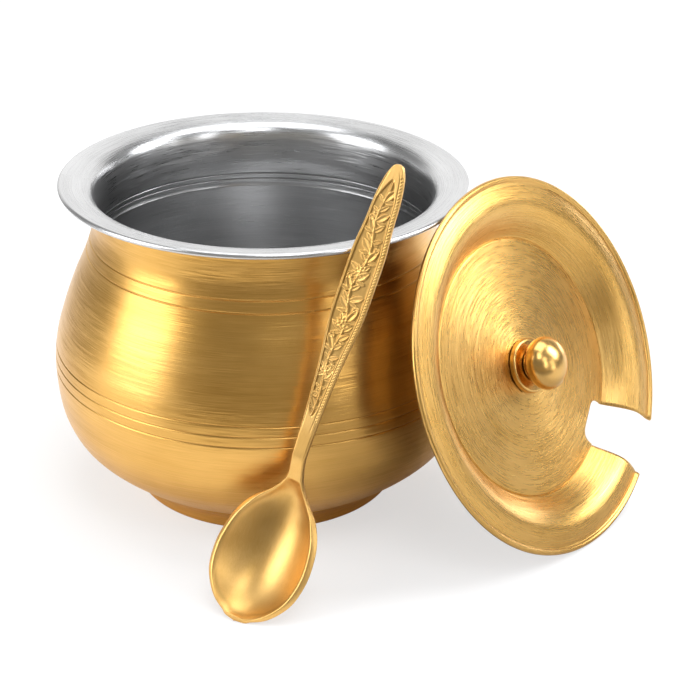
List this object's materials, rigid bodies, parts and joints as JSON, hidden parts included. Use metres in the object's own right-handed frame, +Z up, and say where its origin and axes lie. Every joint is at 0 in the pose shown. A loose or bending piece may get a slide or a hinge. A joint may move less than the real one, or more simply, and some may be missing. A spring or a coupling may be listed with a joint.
{
  "type": "ghee pot",
  "caption": "Round-bellied brass ghee pot with a steel lining and flared rim, a knobbed lid notched for the spoon, and a slender spoon with an ornamented handle.",
  "frame": {"origin": "centre of the flat base of the pot's foot, on the table", "axes": "+Z up along the pot's axis; -Y towards the viewer of the picture; the lid stands on the +X side and the spoon on the -Y side"},
  "size_m": [0.1672, 0.1415, 0.109],
  "materials": {
    "shell_brass": "fine satin, brushed round the axis",
    "liner_steel": "satin, brushed round the axis",
    "lid_brass": "fine satin, turned in circles",
    "knob_brass": "polished",
    "screw_steel": "plain",
    "spoon_brass": "satin bowl, cast relief on the handle"
  },
  "bodies": {
    "pot": {"outer_shell": "shell_brass", "inner_liner": "liner_steel", "foot_pan": "shell_brass"},
    "lid": {"lid_plate": "lid_brass", "knob_collar": "knob_brass", "knob": "knob_brass", "knob_washer": "knob_brass", "knob_screw": "screw_steel"},
    "spoon": {"spoon": "spoon_brass"}
  },
  "joints": [
    {"name": "lid_lift", "type": "slide", "parent": "pot", "child": "lid", "axis": [0, 0, 1], "range_m": [0, 0.1]},
    {"name": "spoon_lift", "type": "slide", "parent": "pot", "child": "spoon", "axis": [0, 0, 1], "range_m": [0, 0.1]}
  ]
}
